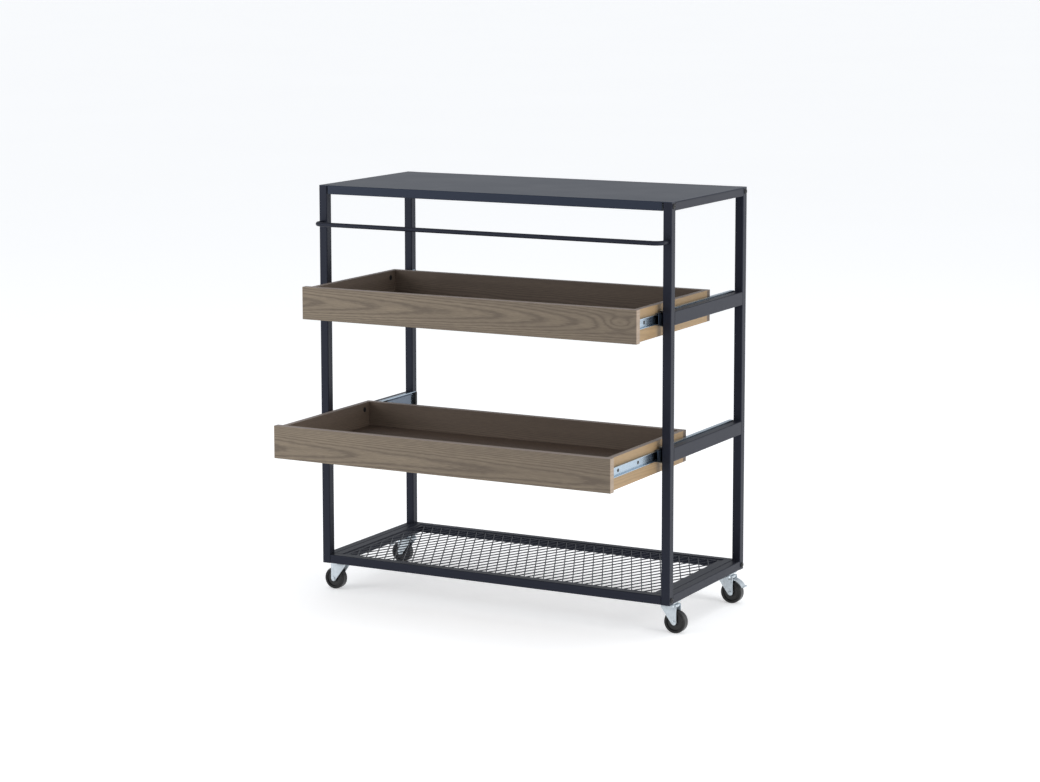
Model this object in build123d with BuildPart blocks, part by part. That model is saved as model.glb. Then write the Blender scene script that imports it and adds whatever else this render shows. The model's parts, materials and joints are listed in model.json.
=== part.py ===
from build123d import *
import math
import os

os.makedirs("parts", exist_ok=True)

# A serving cart: two welded tube side frames bolted to a folded sheet-steel top and to a
# mesh bottom shelf, two wooden drawers on ball slides, and four swivel casters.
# Millimetres. +X is the cart's right, -Y its front, +Z up.
# The origin is on the floor, under the middle of the frame.

# ---------------------------------------------------------------- driving dimensions
WIDTH = 875.0                # over the outer faces of the posts
DEPTH = 400.0                # over the front and rear faces of the posts
FRAME_HEIGHT = 870.0         # from the underside of the frame to its top
CASTER_HEIGHT = 70.0         # from the floor to the underside of the frame

TUBE = 20.0                  # square tube
TUBE_WALL = 1.5
TUBE_CORNER = 2.0            # outer corner radius of the tube
SHEET = 1.5                  # sheet steel of the top
BEND = 2.0                   # outer bend radius of the folded top
LIP = 12.0                   # return lip along the bottom of each apron
SEAM = 0.5                   # between the shelf and a side frame
APRON_SLIT = 3.0             # between an apron's end and the post

BOLT = 6.0                   # corner bolts
BOLT_FIT = 0.05              # radial room round any fastener
BOLT_HEAD = 12.0
BOLT_HEAD_HEIGHT = 3.3
BOLT_SOCKET = 4.0
NUT_BLOCK = 14.0             # length of each threaded block

BAR = 10.0                   # hanging rail
BAR_BELOW_TOP = 85.0
BAR_STANDOFF = 35.0          # from the posts' front faces to the rail's centre line
BAR_BEND = 18.0
BAR_SCREW = 5.0
BAR_SCREW_DEPTH = 16.0

SLIDE_BAR = 30.0             # height of the tubes that carry the slides
SLIDE_LEVELS = {"upper": 620.5, "lower": 326.5}      # slide centres above the frame's underside
OPEN_AT_REST = {"upper": 101.0, "lower": 223.0}      # how far each drawer stands open
MIDDLE_SHARE = {"upper": 0.15, "lower": 0.07}         # of it that the middle section has come out

SLIDE_THICK = 12.7           # ball slide, across all its sections
SLIDE_LENGTH = 374.0
SLIDE_STEEL = 1.2
CABINET_SECTION = 35.0       # heights of the three nested sections
MIDDLE_SECTION = 26.4
DRAWER_SECTION = 21.6
CABINET_FLANGE = 9.0
MIDDLE_SETBACK = 3.0         # of the middle section's web from the cabinet section's back
MIDDLE_FLANGE = 7.3
DRAWER_FLANGE = 6.7
CAGE_LENGTH = 110.0
CAGE_WIDTH = 3.2
CAGE_ROOM = 0.3              # between a ball cage and the flange it runs on
BUMPER_LENGTH = 7.0
SLIDE_FRONT_GAP = 3.0        # from a closed drawer's front panel to the cabinet section
MIDDLE_LEAD = 1.0            # of a closed middle section ahead of the cabinet section
SLIDE_SCREW = 4.0
SLIDE_SCREW_HEAD = 8.0
SLIDE_SCREW_HEAD_HEIGHT = 0.8
SLIDE_SCREW_LENGTH = 9.0
SLIDE_SCREW_PITCH = 96.0
SLIDE_FIRST_SCREW = 32.0     # from the front of the drawer's section

FRONT_HEIGHT = 73.0
FRONT_THICK = 16.0
FRONT_PROUD = 14.0           # of a closed front ahead of the posts
FRONT_SIDE_GAP = 5.5         # between the front panel and each post
DRAWER_DROP = 4.0            # of the front panel's middle below the slide's centre
DRAWER_DEPTH = 390.0         # front face to back face
SIDE_HEIGHT = 70.0
SIDE_RISE = 1.0              # of the sides' lower edge above the front panel's
SIDE_THICK = 12.0
BACK_THICK = 15.0
BOTTOM_THICK = 6.0
BOTTOM_RISE = 8.0            # of the bottom panel above the sides' lower edge
GROOVE = 5.0
GROOVE_ROOM = 0.3
WOOD_EASE = 0.8              # rounding along the wooden edges
CAM_LOCK = 12.0
CAM_DEPTH = 9.0
CAM_SETBACK = 21.0           # from the joint to the lock's centre
CAM_BELOW_TOP = 16.0
CAM_PIN = 6.0
CAM_PIN_BITE = 9.0           # length of the pin in the front or back panel

MESH_THICK = 2.0
MESH_DROP = 2.0              # of the mesh below the top of the rails
MESH_BORDER = 9.0
MESH_SHORT = 24.0            # diamond pitch along the width
MESH_LONG = 50.0             # diamond pitch along the depth
MESH_STRAND = 2.2

WHEEL = 50.0
WHEEL_WIDTH = 20.0
WHEEL_EDGE = 3.0
HUB = 16.0
HUB_WIDTH = 21.6
FACE_RECESS = 2.0
RIM = 5.0
AXLE = 6.0
AXLE_FIT = 0.06              # radial running room
AXLE_HEAD = 10.0
AXLE_HEAD_HEIGHT = 2.2
TRAIL = 14.0                 # from the swivel's axis to the axle
PLATE = 38.0
PLATE_THICK = 2.0
PLATE_CORNER = 6.0
PLATE_SCREW = 5.0
PLATE_SCREW_HEAD = 8.4
PLATE_SCREW_HEAD_HEIGHT = 2.0
PLATE_SCREW_LENGTH = 5.0     # of its shank above the plate
PLATE_SCREW_PITCH = 26.0
RACE = 27.0
RACE_HEIGHT = 3.6
SWIVEL_ROOM = 0.4            # between the race and the fork
FORK_THICK = 1.8
FORK_INSIDE = 22.4           # between the legs
FORK_TOP = 40.0
FORK_NOSE = 17.0             # from the swivel's axis to the legs' front edge, at the top
FORK_TOE = 6.5               # radius of each leg round the axle
KINGPIN = 8.0
KINGPIN_HEAD = 15.0
KINGPIN_HEAD_HEIGHT = 2.4
KINGPIN_ROOM = 0.15
LEVER_WIDTH = 19.0
LEVER_THICK = 2.0
LEVER_GAP = 5.0              # between the raised lever and the tread
LEVER_PIVOT = (13.0, 56.4)   # ahead of the swivel's axis, and above the floor
LEVER_EAR = 3.2
LEVER_PIN = 4.0
LEVER_END_ANGLE = 27.0       # where the lever leaves the tread for its toe
LEVER_TOE = 6.0

# Each caster: its corner, and the way that its wheel trails, in degrees from +X.
CASTERS = {
    "front_left": (-1, -1, 180.0),
    "front_right": (1, -1, 0.0),
    "rear_left": (-1, 1, 180.0),
    "rear_right": (1, 1, 0.0),
}
BRAKED = ("rear_left", "rear_right")
CASTER_FROM_FRONT = 48.0     # from a post's outer face to the swivel's axis

# ---------------------------------------------------------------- values worked out from them
FRAME_BOTTOM = CASTER_HEIGHT
FRAME_TOP = FRAME_BOTTOM + FRAME_HEIGHT
POST_HEIGHT = FRAME_HEIGHT - SHEET   # the top's sheet lies over the side frames
POST_X = WIDTH / 2 - TUBE / 2
POST_Y = DEPTH / 2 - TUBE / 2
INSIDE_X = WIDTH / 2 - TUBE          # inner face of a side frame
INSIDE_Y = DEPTH / 2 - TUBE
CORE = TUBE - 2 * TUBE_WALL          # the hollow inside the tube
CORE_CORNER = TUBE_CORNER - TUBE_WALL
BOLT_LEVELS = (FRAME_BOTTOM + TUBE / 2, FRAME_TOP - TUBE / 2)
BAR_Z = FRAME_TOP - BAR_BELOW_TOP
SHELF_X = INSIDE_X - SEAM            # outer end of the shelf
APRON_X = INSIDE_X - APRON_SLIT
SIDES = {"left": -1, "right": 1}
LEVELS = {name: FRAME_BOTTOM + rise for name, rise in SLIDE_LEVELS.items()}
BOX_X = INSIDE_X - SLIDE_THICK       # outer face of a drawer's side
FRONT_X = INSIDE_X - FRONT_SIDE_GAP
CLOSED_FRONT = -DEPTH / 2 - FRONT_PROUD
CABINET_FRONT = CLOSED_FRONT + FRONT_THICK + SLIDE_FRONT_GAP
CABINET_REAR = CABINET_FRONT + SLIDE_LENGTH
AXLE_Z = WHEEL / 2
PLATE_BOTTOM = FRAME_BOTTOM - PLATE_THICK
RACE_BOTTOM = PLATE_BOTTOM - RACE_HEIGHT
FORK_Z = RACE_BOTTOM - SWIVEL_ROOM   # top face of the fork
FORK_UNDER = FORK_Z - FORK_THICK


def save(piece, name):
    """Label one finished sub-part and write its STEP file."""
    piece.part.label = name
    export_step(piece.part, f"parts/{name}.step")


def facing_x(x):
    """Plane across the X axis: sketch x is the cart's +Y, sketch y is its +Z."""
    return Plane.YZ.offset(x)


def facing_y(y):
    """Plane across the Y axis: sketch x is the cart's +X, sketch y is its +Z."""
    return Plane(origin=(0, y, 0), x_dir=(1, 0, 0), z_dir=(0, -1, 0))


# ---------------------------------------------------------------- side frames
def upright_post(name, side, end):
    """A post, closed at both ends, drilled for its two corner bolts."""
    centre = (side * POST_X, end * POST_Y)
    with BuildPart() as post:
        with BuildSketch(Plane.XY.offset(FRAME_BOTTOM)):
            with Locations(centre):
                RectangleRounded(TUBE, TUBE, TUBE_CORNER)
        extrude(amount=POST_HEIGHT)
        with BuildSketch(Plane.XY.offset(FRAME_BOTTOM + TUBE_WALL)):
            with Locations(centre):
                RectangleRounded(CORE, CORE, CORE_CORNER)
        extrude(amount=POST_HEIGHT - 2 * TUBE_WALL, mode=Mode.SUBTRACT)
        with BuildSketch(facing_x(side * POST_X)):
            for level in BOLT_LEVELS:
                with Locations((end * POST_Y, level)):
                    Circle(BOLT / 2 + BOLT_FIT)
        extrude(amount=TUBE, both=True, mode=Mode.SUBTRACT)
        if end < 0:
            with BuildSketch(facing_y(end * POST_Y)):
                with Locations((side * POST_X, BAR_Z)):
                    Circle(BAR_SCREW / 2 + BOLT_FIT)
            extrude(amount=TUBE, both=True, mode=Mode.SUBTRACT)
    save(post, name)


def side_rail(name, side, bottom, height, holes=()):
    """A tube between the front and rear posts of one side frame.

    holes lists (plane, centre, diameter) of the fastener holes in its walls.
    """
    with BuildPart() as rail:
        with BuildSketch(facing_y(INSIDE_Y)):
            with Locations((side * POST_X, bottom + height / 2)):
                RectangleRounded(TUBE, height, TUBE_CORNER)
                RectangleRounded(CORE, height - 2 * TUBE_WALL, CORE_CORNER, mode=Mode.SUBTRACT)
        extrude(amount=2 * INSIDE_Y)
        for plane, centre, diameter in holes:
            with BuildSketch(plane):
                with Locations(centre):
                    Circle(diameter / 2 + BOLT_FIT)
            extrude(amount=2 * TUBE_WALL, both=True, mode=Mode.SUBTRACT)
    save(rail, name)


def caster_centre(corner):
    """Plan position of a caster's swivel axis: under the seam of side frame and shelf."""
    side, end, _ = CASTERS[corner]
    return (side * INSIDE_X, end * (DEPTH / 2 - CASTER_FROM_FRONT))


def plate_screw_spots(side):
    """Screws of one side's two caster plates, as (x, y, True on the side frame's own rail)."""
    half = PLATE_SCREW_PITCH / 2
    spots = []
    for corner, (corner_side, _, _) in CASTERS.items():
        if corner_side == side:
            x, y = caster_centre(corner)
            for across in (-half, half):
                for along in (-half, half):
                    spots.append((x + across, y + along, across * side > 0))
    return spots


SLIDE_SCREW_SPOTS = (-SLIDE_SCREW_PITCH, SLIDE_SCREW_PITCH)

for side_name, side in SIDES.items():
    upright_post(f"post_front_{side_name}", side, -1)
    upright_post(f"post_rear_{side_name}", side, 1)
    side_rail(f"top_side_rail_{side_name}", side, FRAME_TOP - TUBE, TUBE - SHEET)
    floor_holes = [
        (Plane.XY.offset(FRAME_BOTTOM), (x, y), PLATE_SCREW)
        for x, y, on_side_frame in plate_screw_spots(side)
        if on_side_frame
    ]
    side_rail(f"bottom_side_rail_{side_name}", side, FRAME_BOTTOM, TUBE, floor_holes)
    for level_name, level in LEVELS.items():
        screw_holes = [
            (facing_x(side * INSIDE_X), (y, level), SLIDE_SCREW) for y in SLIDE_SCREW_SPOTS
        ]
        side_rail(
            f"{level_name}_slide_bar_{side_name}",
            side,
            level - SLIDE_BAR / 2,
            SLIDE_BAR,
            screw_holes,
        )

# ---------------------------------------------------------------- folded top
with BuildPart() as top_panel:
    with BuildSketch(facing_x(-APRON_X)):
        with Locations((0, FRAME_TOP - TUBE / 2)):
            RectangleRounded(DEPTH, TUBE, BEND)
            RectangleRounded(DEPTH - 2 * SHEET, TUBE - 2 * SHEET, BEND - SHEET, mode=Mode.SUBTRACT)
        with Locations((0, FRAME_TOP - TUBE + SHEET / 2)):
            Rectangle(DEPTH - 2 * LIP, 2 * SHEET, mode=Mode.SUBTRACT)
    extrude(amount=2 * APRON_X)
    with BuildSketch(Plane.XY.offset(FRAME_TOP - SHEET)):
        RectangleRounded(WIDTH, DEPTH, TUBE_CORNER)
        Rectangle(2 * APRON_X, DEPTH, mode=Mode.SUBTRACT)
    extrude(amount=SHEET)
save(top_panel, "top_panel")

# ---------------------------------------------------------------- bottom shelf
for end_name, end in (("front", -1), ("rear", 1)):
    with BuildPart() as long_rail:
        with BuildSketch(facing_x(-SHELF_X)):
            with Locations((end * POST_Y, FRAME_BOTTOM + TUBE / 2)):
                RectangleRounded(TUBE, TUBE, TUBE_CORNER)
                RectangleRounded(CORE, CORE, CORE_CORNER, mode=Mode.SUBTRACT)
        extrude(amount=2 * SHELF_X)
    save(long_rail, f"shelf_rail_{end_name}")

for side_name, side in SIDES.items():
    with BuildPart() as end_rail:
        with BuildSketch(facing_y(INSIDE_Y)):
            with Locations((side * (SHELF_X - TUBE / 2), FRAME_BOTTOM + TUBE / 2)):
                RectangleRounded(TUBE, TUBE, TUBE_CORNER)
                RectangleRounded(CORE, CORE, CORE_CORNER, mode=Mode.SUBTRACT)
        extrude(amount=2 * INSIDE_Y)
        with BuildSketch(Plane.XY.offset(FRAME_BOTTOM)):
            for x, y, on_side_frame in plate_screw_spots(side):
                if not on_side_frame:
                    with Locations((x, y)):
                        Circle(PLATE_SCREW / 2 + BOLT_FIT)
        extrude(amount=2 * TUBE_WALL, both=True, mode=Mode.SUBTRACT)
    save(end_rail, f"shelf_rail_{side_name}")

MESH_X = SHELF_X - TUBE              # half of the opening between the shelf's rails
MESH_Y = INSIDE_Y
WINDOW_X = MESH_X - MESH_BORDER
WINDOW_Y = MESH_Y - MESH_BORDER
MESH_TOP = FRAME_BOTTOM + TUBE - MESH_DROP
columns = math.ceil(WINDOW_X / MESH_SHORT) * 2 + 1
rows = math.ceil(WINDOW_Y / MESH_LONG) * 2 + 1
# A strand of this width between two holes takes this much off each diamond's diagonals.
slope = math.hypot(MESH_SHORT, MESH_LONG)
hole_short = MESH_SHORT - MESH_STRAND * slope / MESH_LONG
hole_long = MESH_LONG - MESH_STRAND * slope / MESH_SHORT
diamond = [(hole_short / 2, 0), (0, hole_long / 2), (-hole_short / 2, 0), (0, -hole_long / 2)]
with BuildPart() as shelf_mesh:
    with BuildSketch(Plane.XY.offset(MESH_TOP - MESH_THICK)):
        Rectangle(2 * WINDOW_X, 2 * WINDOW_Y)
        with GridLocations(MESH_SHORT, MESH_LONG, columns, rows):
            Polygon(*diamond, align=None, mode=Mode.SUBTRACT)
        with GridLocations(MESH_SHORT, MESH_LONG, columns + 1, rows + 1):
            Polygon(*diamond, align=None, mode=Mode.SUBTRACT)
    extrude(amount=MESH_THICK)
    with BuildSketch(Plane.XY.offset(MESH_TOP - MESH_THICK)):
        Rectangle(2 * MESH_X, 2 * MESH_Y)
        Rectangle(2 * WINDOW_X, 2 * WINDOW_Y, mode=Mode.SUBTRACT)
    extrude(amount=MESH_THICK)
save(shelf_mesh, "shelf_mesh")

# ---------------------------------------------------------------- hanging rail
with BuildPart() as hanging_rail:
    with BuildLine() as rail_route:
        FilletPolyline(
            (-POST_X, -DEPTH / 2, BAR_Z),
            (-POST_X, -DEPTH / 2 - BAR_STANDOFF, BAR_Z),
            (POST_X, -DEPTH / 2 - BAR_STANDOFF, BAR_Z),
            (POST_X, -DEPTH / 2, BAR_Z),
            radius=BAR_BEND,
        )
    with BuildSketch(facing_y(-DEPTH / 2)):
        with Locations((-POST_X, BAR_Z)):
            Circle(BAR / 2)
    sweep(path=rail_route.line)
    with BuildSketch(facing_y(-DEPTH / 2)):
        for side in SIDES.values():
            with Locations((side * POST_X, BAR_Z)):
                Circle(BAR_SCREW / 2 + BOLT_FIT)
    extrude(amount=BAR_SCREW_DEPTH + BOLT_FIT, mode=Mode.SUBTRACT)
save(hanging_rail, "hanging_rail")


# ---------------------------------------------------------------- fasteners of the frame
def turned(spots, steps):
    """Solids of revolution about the X direction, one for each (x, y, z, sign) spot.

    steps lists (distance along sign * X, radius) of the stepped outline.
    """
    for x, y, z, sign in spots:
        outline = [(steps[0][0], 0)] + list(steps) + [(steps[-1][0], 0)]
        points = [(x + sign * along, z + radius) for along, radius in outline]
        with BuildSketch(facing_y(y)) as half_outline:
            with BuildLine():
                Polyline(*points, close=True)
            make_face()
        revolve(half_outline.sketch, axis=Axis((x, y, z), (1, 0, 0)))


with BuildPart() as corner_bolts:
    reach = TUBE + APRON_SLIT + NUT_BLOCK - 2
    bolt_spots = [
        (side * WIDTH / 2, end * POST_Y, level, side)
        for side in SIDES.values()
        for end in (-1, 1)
        for level in BOLT_LEVELS
    ]
    dome = [
        (BOLT_HEAD_HEIGHT * math.sin(math.radians(a)), BOLT_HEAD / 2 * math.cos(math.radians(a)) ** 0.5)
        for a in (0, 25, 50, 70, 82)
    ]
    turned(bolt_spots, [(-reach, BOLT / 2), (0, BOLT / 2)] + dome)
    for x, y, z, side in bolt_spots:
        with BuildSketch(facing_x(x + side * BOLT_HEAD_HEIGHT)):
            with Locations((y, z)):
                RegularPolygon(BOLT_SOCKET / 2, 6)
        extrude(amount=-side * BOLT_HEAD_HEIGHT * 0.6, mode=Mode.SUBTRACT)
save(corner_bolts, "corner_bolts")

with BuildPart() as corner_nut_blocks:
    for side in SIDES.values():
        for level, outer in zip(BOLT_LEVELS, (SHELF_X, APRON_X)):
            with BuildSketch(facing_x(side * outer)):
                for end in (-1, 1):
                    with Locations((end * POST_Y, level)):
                        RectangleRounded(CORE, CORE, 2 * CORE_CORNER)
                        Circle(BOLT / 2 + BOLT_FIT, mode=Mode.SUBTRACT)
            extrude(amount=-side * NUT_BLOCK)
save(corner_nut_blocks, "corner_nut_blocks")

with BuildPart() as frame_screws:
    slide_spots = [
        (side * (INSIDE_X - SLIDE_STEEL), y, level, -side)
        for side in SIDES.values()
        for y in SLIDE_SCREW_SPOTS
        for level in LEVELS.values()
    ]
    shank = (-SLIDE_SCREW_LENGTH, SLIDE_SCREW / 2)
    turned(
        slide_spots,
        [
            shank,
            (0, SLIDE_SCREW / 2),
            (0, SLIDE_SCREW_HEAD / 2),
            (SLIDE_SCREW_HEAD_HEIGHT, SLIDE_SCREW_HEAD / 2 - 1),
        ],
    )
    for side in SIDES.values():
        with BuildSketch(facing_y(-INSIDE_Y)):
            with Locations((side * POST_X, BAR_Z)):
                Circle(BAR_SCREW / 2)
        extrude(amount=TUBE + BAR_SCREW_DEPTH)
        with BuildSketch(facing_y(-INSIDE_Y)):
            with Locations((side * POST_X, BAR_Z)):
                Circle(BAR_SCREW)
        extrude(amount=-BAR_SCREW / 2)
save(frame_screws, "frame_screws")


# ---------------------------------------------------------------- ball slides
def channel(side, back, flange, height, start, level, opens_inward):
    """One C section of a slide, from its back face at x = back, of SLIDE_LENGTH."""
    inward = -side if opens_inward else side
    with BuildSketch(facing_y(start)) as section:
        with Locations((back + inward * flange / 2, level)):
            Rectangle(flange, height)
        with Locations((back + inward * (SLIDE_STEEL + flange / 2), level)):
            Rectangle(flange, height - 2 * SLIDE_STEEL, mode=Mode.SUBTRACT)
    extrude(section.sketch, amount=-SLIDE_LENGTH)


def screw_holes_x(x, spots, level, diameter):
    """Holes along X through a slide section's web."""
    with BuildSketch(facing_x(x)) as holes:
        for y in spots:
            with Locations((y, level)):
                Circle(diameter / 2 + BOLT_FIT)
    extrude(holes.sketch, amount=2 * SLIDE_STEEL, both=True, mode=Mode.SUBTRACT)


for level_name, level in LEVELS.items():
    with BuildPart() as cabinet_sections:
        for side in SIDES.values():
            back = side * INSIDE_X
            channel(side, back, CABINET_FLANGE, CABINET_SECTION, CABINET_FRONT, level, True)
            screw_holes_x(back, SLIDE_SCREW_SPOTS, level, SLIDE_SCREW)
    save(cabinet_sections, f"{level_name}_slide_cabinet_sections")

with BuildPart() as slide_bumpers:
    for level in LEVELS.values():
        for side in SIDES.values():
            with BuildSketch(facing_y(CABINET_REAR)):
                with Locations((side * (INSIDE_X - CABINET_FLANGE / 2), level)):
                    Rectangle(CABINET_FLANGE, CABINET_SECTION - 4)
            extrude(amount=-BUMPER_LENGTH)
    bumper_edges = slide_bumpers.edges().filter_by(Axis.X)
    fillet(bumper_edges, 1.5)
save(slide_bumpers, "slide_bumpers")


def ball_cage(side, start, height_from, height_to, inner_x, level):
    """Two strips of bearing balls, above and below the slide's centre."""
    with BuildSketch(facing_y(start)) as strips:
        for up in (-1, 1):
            middle = level + up * (height_from + height_to) / 2
            with Locations((side * (inner_x + CAGE_WIDTH / 2), middle)):
                Rectangle(CAGE_WIDTH, height_to - height_from - 2 * CAGE_ROOM)
    extrude(strips.sketch, amount=-CAGE_LENGTH)


for level_name, level in LEVELS.items():
    middle_out = OPEN_AT_REST[level_name] * MIDDLE_SHARE[level_name]
    middle_front = CABINET_FRONT - MIDDLE_LEAD - middle_out
    with BuildPart() as middle_sections:
        for side in SIDES.values():
            back = side * (INSIDE_X - MIDDLE_SETBACK)
            channel(side, back, MIDDLE_FLANGE, MIDDLE_SECTION, middle_front, level, True)
            ball_cage(
                side,
                middle_front + SLIDE_LENGTH - CAGE_LENGTH,
                MIDDLE_SECTION / 2,
                CABINET_SECTION / 2 - SLIDE_STEEL,
                INSIDE_X - CABINET_FLANGE + 1,
                level,
            )
            ball_cage(
                side,
                middle_front,
                DRAWER_SECTION / 2,
                MIDDLE_SECTION / 2 - SLIDE_STEEL,
                BOX_X + SLIDE_STEEL + 2,
                level,
            )
    save(middle_sections, f"{level_name}_slide_middle_sections")


# ---------------------------------------------------------------- drawers
def panel(name, low, high, cuts=()):
    """A wooden panel from its low to its high corner, with its long edges eased.

    cuts lists (plane, shape, centre, size, depth) of the grooves and holes in it.
    """
    size = [b - a for a, b in zip(low, high)]
    centre = [(a + b) / 2 for a, b in zip(low, high)]
    with BuildPart() as board:
        with BuildSketch(Plane.XY.offset(low[2])):
            with Locations((centre[0], centre[1])):
                Rectangle(size[0], size[1])
        extrude(amount=size[2])
        fillet(board.edges(), min(WOOD_EASE, min(size) / 4))
        for plane, shape, spots, dims, depth in cuts:
            with BuildSketch(plane):
                for spot in spots:
                    with Locations(spot):
                        if shape == "round":
                            Circle(dims / 2)
                        else:
                            Rectangle(*dims)
            extrude(amount=depth, mode=Mode.SUBTRACT)
    save(board, name)


def drawer(level_name):
    """One drawer: front, back, two sides, bottom, its slide sections and its fittings."""
    level = LEVELS[level_name]
    front_y = CLOSED_FRONT - OPEN_AT_REST[level_name]
    joint_front = front_y + FRONT_THICK
    back_y = front_y + DRAWER_DEPTH
    joint_back = back_y - BACK_THICK
    front_bottom = level - DRAWER_DROP - FRONT_HEIGHT / 2
    low = front_bottom + SIDE_RISE
    high = low + SIDE_HEIGHT
    inner_x = BOX_X - SIDE_THICK
    floor = low + BOTTOM_RISE
    cam_z = high - CAM_BELOW_TOP
    groove_height = BOTTOM_THICK + 2 * GROOVE_ROOM
    groove_z = floor + BOTTOM_THICK / 2
    pin_hole = CAM_PIN + 2 * BOLT_FIT
    pin_bite = CAM_PIN_BITE + BOLT_FIT
    pin_spots = [(side * (BOX_X - SIDE_THICK / 2), cam_z) for side in SIDES.values()]
    front_groove = (2 * (inner_x + GROOVE), groove_height)
    first_screw = joint_front + SLIDE_FIRST_SCREW
    screw_spots = [first_screw + SLIDE_SCREW_PITCH * step for step in (0, 1, 3)]

    panel(
        f"{level_name}_drawer_front",
        (-FRONT_X, front_y, front_bottom),
        (FRONT_X, joint_front, front_bottom + FRONT_HEIGHT),
        [
            (facing_y(joint_front), "slot", [(0, groove_z)], front_groove, GROOVE),
            (facing_y(joint_front), "round", pin_spots, pin_hole, pin_bite),
        ],
    )
    panel(
        f"{level_name}_drawer_back",
        (-BOX_X, joint_back, low),
        (BOX_X, back_y, high),
        [
            (facing_y(joint_back), "slot", [(0, groove_z)], front_groove, -GROOVE),
            (facing_y(joint_back), "round", pin_spots, pin_hole, -pin_bite),
        ],
    )
    cam_spots = [joint_front + CAM_SETBACK, joint_back - CAM_SETBACK]
    for side_name, side in SIDES.items():
        x_pair = sorted((side * inner_x, side * BOX_X))
        pin_centre = (side * (BOX_X - SIDE_THICK / 2), cam_z)
        run = joint_back - joint_front
        side_groove = (run + 2, groove_height)
        panel(
            f"{level_name}_drawer_side_{side_name}",
            (x_pair[0], joint_front, low),
            (x_pair[1], joint_back, high),
            [
                (
                    facing_x(side * inner_x),
                    "slot",
                    [((joint_front + joint_back) / 2, groove_z)],
                    side_groove,
                    side * GROOVE,
                ),
                (
                    facing_x(side * inner_x),
                    "round",
                    [(y, cam_z) for y in cam_spots],
                    CAM_LOCK + 2 * BOLT_FIT,
                    side * (CAM_DEPTH + BOLT_FIT),
                ),
                (facing_y(joint_front), "round", [pin_centre], pin_hole, -CAM_SETBACK),
                (facing_y(joint_back), "round", [pin_centre], pin_hole, CAM_SETBACK),
                (
                    facing_x(side * BOX_X),
                    "round",
                    [(y, level) for y in screw_spots],
                    SLIDE_SCREW + 2 * BOLT_FIT,
                    -side * (SLIDE_SCREW_LENGTH - SLIDE_STEEL + BOLT_FIT),
                ),
            ],
        )
    tongue = GROOVE - GROOVE_ROOM
    panel(
        f"{level_name}_drawer_bottom",
        (-inner_x - tongue, joint_front - tongue, floor),
        (inner_x + tongue, joint_back + tongue, floor + BOTTOM_THICK),
    )

    with BuildPart() as drawer_sections:
        for side in SIDES.values():
            channel(side, side * BOX_X, DRAWER_FLANGE, DRAWER_SECTION, joint_front, level, False)
            screw_holes_x(side * BOX_X, screw_spots, level, SLIDE_SCREW)
    save(drawer_sections, f"{level_name}_slide_drawer_sections")

    with BuildPart() as fittings:
        for side in SIDES.values():
            screws = [(side * (BOX_X + SLIDE_STEEL), y, level, side) for y in screw_spots]
            turned(
                screws,
                [
                    (-SLIDE_SCREW_LENGTH, SLIDE_SCREW / 2),
                    (0, SLIDE_SCREW / 2),
                    (0, SLIDE_SCREW_HEAD / 2),
                    (SLIDE_SCREW_HEAD_HEIGHT, SLIDE_SCREW_HEAD / 2 - 1),
                ],
            )
            with BuildSketch(facing_x(side * inner_x)):
                for y in cam_spots:
                    with Locations((y, cam_z)):
                        Circle(CAM_LOCK / 2)
            extrude(amount=side * CAM_DEPTH)
            with BuildSketch(facing_x(side * inner_x)):
                for y in cam_spots:
                    with Locations((y, cam_z)):
                        Rectangle(CAM_LOCK * 0.55, 1.2)
                        Rectangle(1.2, CAM_LOCK * 0.55)
            extrude(amount=side * 1.5, mode=Mode.SUBTRACT)
            pin_x = side * (BOX_X - SIDE_THICK / 2)
            pin_length = CAM_PIN_BITE + CAM_SETBACK - CAM_LOCK / 2 - 2 * BOLT_FIT
            for y, outward in ((joint_front - CAM_PIN_BITE, -1), (joint_back + CAM_PIN_BITE, 1)):
                with BuildSketch(facing_y(y)):
                    with Locations((pin_x, cam_z)):
                        Circle(CAM_PIN / 2)
                extrude(amount=outward * pin_length)
    save(fittings, f"{level_name}_drawer_fittings")


for level_name in LEVELS:
    drawer(level_name)


# ---------------------------------------------------------------- casters
def caster_plane(corner):
    """The caster's own frame: origin on the floor, local +X the way the wheel trails."""
    _, _, turn = CASTERS[corner]
    x, y = caster_centre(corner)
    heading = math.radians(turn)
    return Plane(origin=(x, y, 0), x_dir=(math.cos(heading), math.sin(heading), 0), z_dir=(0, 0, 1))


def across(base, y):
    """Upright plane across a caster at local y: sketch x runs along the trail, sketch y up."""
    origin = base.from_local_coords(Vector(0, y, 0))
    return Plane(origin=origin, x_dir=base.x_dir, z_dir=base.y_dir * -1)


def caster_plate(corner):
    """Top plate with the pressed bearing race under it."""
    x, y = caster_centre(corner)
    half = PLATE_SCREW_PITCH / 2
    with BuildPart() as plate:
        with BuildSketch(Plane.XY.offset(PLATE_BOTTOM)):
            with Locations((x, y)):
                RectangleRounded(PLATE, PLATE, PLATE_CORNER)
                with GridLocations(2 * half, 2 * half, 2, 2):
                    Circle(PLATE_SCREW / 2 + BOLT_FIT, mode=Mode.SUBTRACT)
        extrude(amount=PLATE_THICK)
        with BuildSketch(Plane.XY.offset(PLATE_BOTTOM)):
            with Locations((x, y)):
                Circle(RACE / 2)
        extrude(amount=-RACE_HEIGHT, taper=12)
        with BuildSketch(Plane.XY.offset(FRAME_BOTTOM)):
            with Locations((x, y)):
                Circle(KINGPIN / 2 + BOLT_FIT)
        extrude(amount=-CASTER_HEIGHT / 2, mode=Mode.SUBTRACT)
    save(plate, f"caster_plate_{corner}")


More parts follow.
